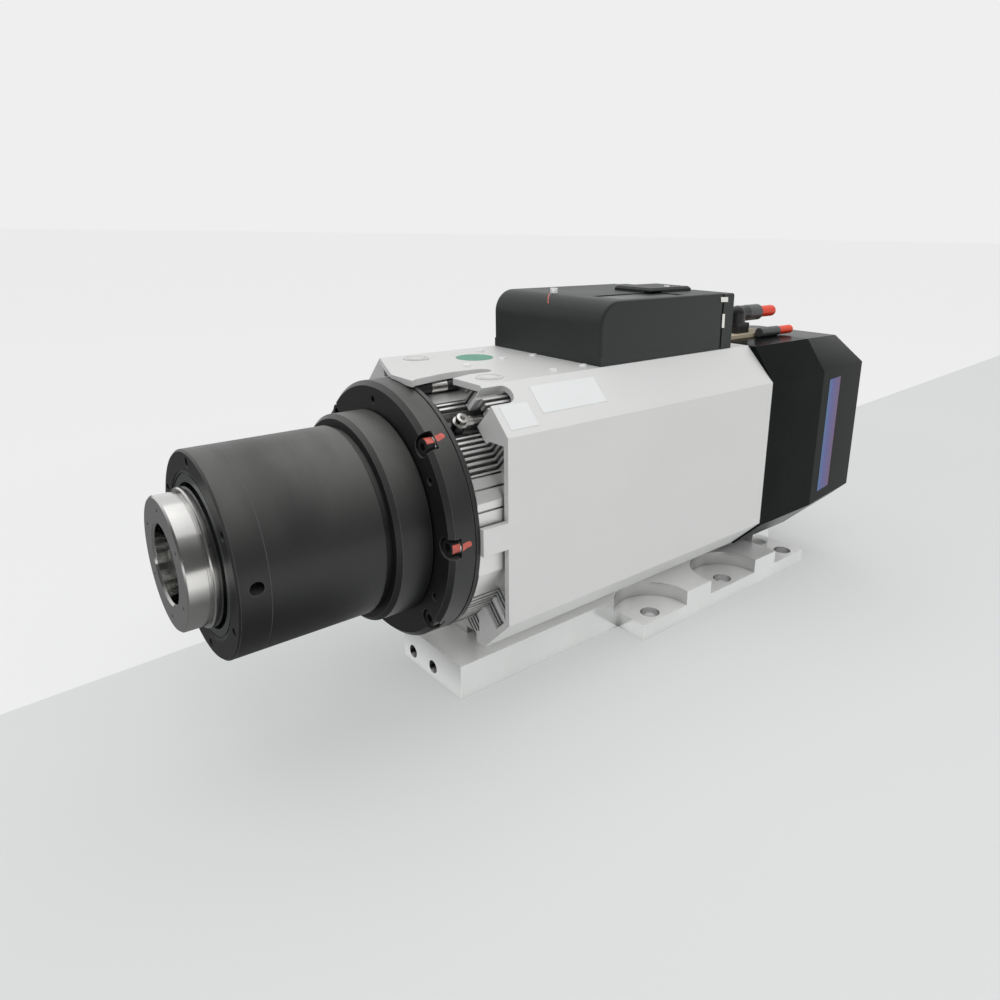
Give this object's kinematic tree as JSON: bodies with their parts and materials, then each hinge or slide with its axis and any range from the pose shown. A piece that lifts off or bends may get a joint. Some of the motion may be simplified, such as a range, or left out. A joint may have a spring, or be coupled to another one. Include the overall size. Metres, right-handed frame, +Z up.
{
  "type": "machining spindle",
  "caption": "Air-cooled motor spindle with a rotating hollow-taper nose, power drawbar, rear cooling fan and top connector box, fixed on an aluminium mounting plate.",
  "frame": {"origin": "middle of the mounting plate's underside, straight below the spindle axis", "axes": "+X along the spindle axis from the nose to the fan cover, +Z up from the mounting face, +Y to the left seen from behind the nose"},
  "size_m": [0.508, 0.147, 0.2298],
  "materials": {
    "ground_steel": "ground",
    "hardened_steel": "satin",
    "spring_steel": "satin",
    "lamination_steel": "dull",
    "bearing_steel": "polished",
    "bearing_balls": "polished",
    "burnished_black": "burnished black",
    "black_screws": "black oxide",
    "grey_seal": "satin",
    "cast_aluminium": "as machined",
    "satin_aluminium": "satin anodised",
    "milled_aluminium": "milled",
    "winding": "varnished",
    "zinc_screws": "zinc plated",
    "black_plastic": "satin",
    "fan_plastic": "satin",
    "black_cast": "fine texture",
    "grey_fitting": "satin",
    "red_plastic": "gloss",
    "beige_gasket": "matt",
    "sticker_green": "satin",
    "sticker_white": "satin",
    "sticker_blue": "satin",
    "nickel": "nickel plated",
    "chrome_fitting": "nickel plated"
  },
  "bodies": {
    "housing": {"front_bearing_outer_rings": "bearing_steel", "rear_bearing_outer_ring": "bearing_steel", "front_cover": "burnished_black", "front_cover_screws": "black_screws", "seal_ring": "grey_seal", "front_housing": "burnished_black", "spacer_ring": "burnished_black", "rim_screws": "black_screws", "stator_jacket": "cast_aluminium", "stator_core": "lamination_steel", "stator_windings": "winding", "rear_bearing_carrier": "cast_aluminium", "body_shell": "satin_aluminium", "top_plugs": "satin_aluminium", "top_screws": "zinc_screws", "mounting_plate": "milled_aluminium", "plate_screws": "black_screws", "rear_foot_block": "milled_aluminium", "front_pedestal": "milled_aluminium", "rear_cover": "black_plastic", "fan_guard": "black_plastic", "unclamp_cylinder": "cast_aluminium", "fan_motor": "black_plastic", "connector_box_base": "black_cast", "connector_box_lid": "black_cast", "connector_box_end_cap": "black_cast", "connector_box_screw": "zinc_screws", "air_elbow": "black_plastic", "air_barrels": "grey_fitting", "red_stoppers": "red_plastic", "gasket_strip": "beige_gasket", "sensor_body": "black_plastic", "sensor_band": "nickel", "air_inlet": "chrome_fitting", "inlet_collet": "black_plastic", "connector_pad_screws": "zinc_screws", "round_sticker": "sticker_green", "chamfer_labels": "sticker_white", "cover_badges": "sticker_blue"},
    "rotor": {"spindle_shaft": "ground_steel", "rotor_core": "lamination_steel", "front_bearing_inner_rings": "bearing_steel", "rear_bearing_inner_ring": "bearing_steel", "disc_springs": "spring_steel"},
    "front_ball_sets": {"front_bearing_balls": "bearing_balls"},
    "rear_ball_set": {"rear_bearing_balls": "bearing_balls"},
    "clamp": {"drawbar": "hardened_steel", "clamp_gripper": "hardened_steel"},
    "piston": {"unclamp_piston": "cast_aluminium"},
    "fan": {"fan_impeller": "fan_plastic"}
  },
  "joints": [
    {"name": "spindle_spin", "type": "hinge", "parent": "housing", "child": "rotor", "pos_m": [-0.198, 0, 0.116], "axis": [1, 0, 0], "continuous": true},
    {"name": "front_balls_spin", "type": "hinge", "parent": "housing", "child": "front_ball_sets", "pos_m": [-0.248, 0, 0.116], "axis": [1, 0, 0], "continuous": true},
    {"name": "rear_balls_spin", "type": "hinge", "parent": "housing", "child": "rear_ball_set", "pos_m": [0.037, 0, 0.116], "axis": [1, 0, 0], "continuous": true},
    {"name": "piston_stroke", "type": "slide", "parent": "housing", "child": "piston", "axis": [-1, 0, 0], "range_m": [0, 0.006], "stiffness_N_per_m": 2000, "springref_m": -0.002},
    {"name": "drawbar_stroke", "type": "slide", "parent": "rotor", "child": "clamp", "axis": [-1, 0, 0], "range_m": [0, 0.006], "deforming": ["disc_springs"]},
    {"name": "fan_spin", "type": "hinge", "parent": "housing", "child": "fan", "pos_m": [0.142, 0, 0.116], "axis": [1, 0, 0], "continuous": true}
  ],
  "couplings": [
    {"joint": "front_balls_spin", "follows": "spindle_spin", "ratio": 0.43},
    {"joint": "rear_balls_spin", "follows": "spindle_spin", "ratio": 0.43},
    {"joint": "drawbar_stroke", "follows": "piston_stroke", "ratio": 1}
  ]
}
